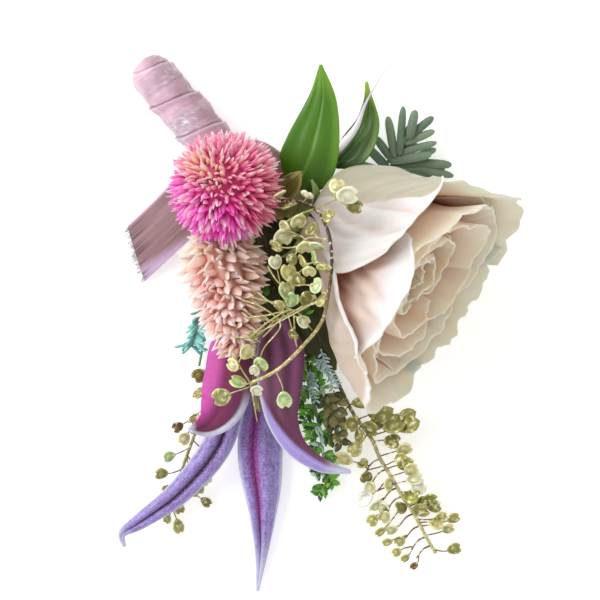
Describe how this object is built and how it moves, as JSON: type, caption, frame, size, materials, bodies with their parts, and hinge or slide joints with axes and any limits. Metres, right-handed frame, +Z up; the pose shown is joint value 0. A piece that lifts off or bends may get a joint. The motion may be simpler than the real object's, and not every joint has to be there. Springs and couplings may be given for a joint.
{
  "type": "boutonniere",
  "caption": "Small lapel posy of a blush rose, pink and peach flower heads, a purple clematis bell, leaves and gilded sprays, its stems bound in pink satin ribbon.",
  "frame": {"origin": "bottom centre of the bounding box of the whole posy as it lies flat, on the surface it lies on", "axes": "+Z up from the surface, +Y towards the end with the ribbon-wrapped stems, so the clematis and the long gilded spray point to -Y, +X towards the side with the rose"},
  "size_m": [0.0914, 0.1246, 0.0541],
  "materials": {
    "satin": "dusty pink satin with a soft sheen and creases",
    "tape": "matt green floral tape",
    "stem": "smooth green stem, slightly ribbed",
    "gilt_stem": "dried pods and stalks sprayed with pale gold paint, worn to green in places",
    "petal": "soft blush petal, white at the outside and salmon in the depths",
    "pink_bract": "papery pointed bracts, hot pink to cream",
    "peach_bract": "papery pointed bracts, peach and cream with pink",
    "tepal": "fleshy tepal, magenta outside with a pale lilac felted margin and tip",
    "stamen": "cream downy stamens",
    "leaf": "glossy bright green leaf with fine parallel veins",
    "olive_leaf": "olive leaf brushed with gold",
    "sage_leaf": "matt grey-green leaflets",
    "fern_leaf": "green leaflets with pale mint specks",
    "lilac": "pale lilac, slightly glossy"
  },
  "bodies": {
    "root": {"acacia_left_sprig": "sage_leaf", "acacia_upper_sprig": "sage_leaf", "amaranth_head": "pink_bract", "amaranth_stem": "stem", "binding_band": "tape", "celosia_head": "peach_bract", "celosia_stem": "stem", "clematis_stamens": "stamen", "clematis_stem": "stem", "clematis_tepal_back_centre": "tepal", "clematis_tepal_back_left": "tepal", "clematis_tepal_front_left": "tepal", "clematis_tepal_front_right": "tepal", "fern_frond": "fern_leaf", "gilded_leaf_lower": "olive_leaf", "gilded_leaf_upper": "olive_leaf", "lepidium_centre_spray": "gilt_stem", "lepidium_left_spray": "gilt_stem", "lepidium_right_spray": "gilt_stem", "lilac_blade": "lilac", "ribbon_knot": "satin", "ribbon_tail_left": "satin", "ribbon_tail_right": "satin", "ribbon_wrap": "satin", "rose_calyx": "stem", "rose_heart": "petal", "rose_petal_inner_1": "petal", "rose_petal_inner_2": "petal", "rose_petal_inner_3": "petal", "rose_petal_inner_4": "petal", "rose_petal_inner_5": "petal", "rose_petal_middle_1": "petal", "rose_petal_middle_2": "petal", "rose_petal_middle_3": "petal", "rose_petal_middle_4": "petal", "rose_petal_middle_5": "petal", "rose_petal_outer_1": "petal", "rose_petal_outer_2": "petal", "rose_petal_outer_3": "petal", "rose_petal_outer_4": "petal", "rose_petal_outer_5": "petal", "rose_stem": "stem", "ruscus_leaf_large": "leaf", "ruscus_leaf_small": "leaf", "ruscus_stem": "stem", "stem_tape": "tape"}
  },
  "joints": []
}
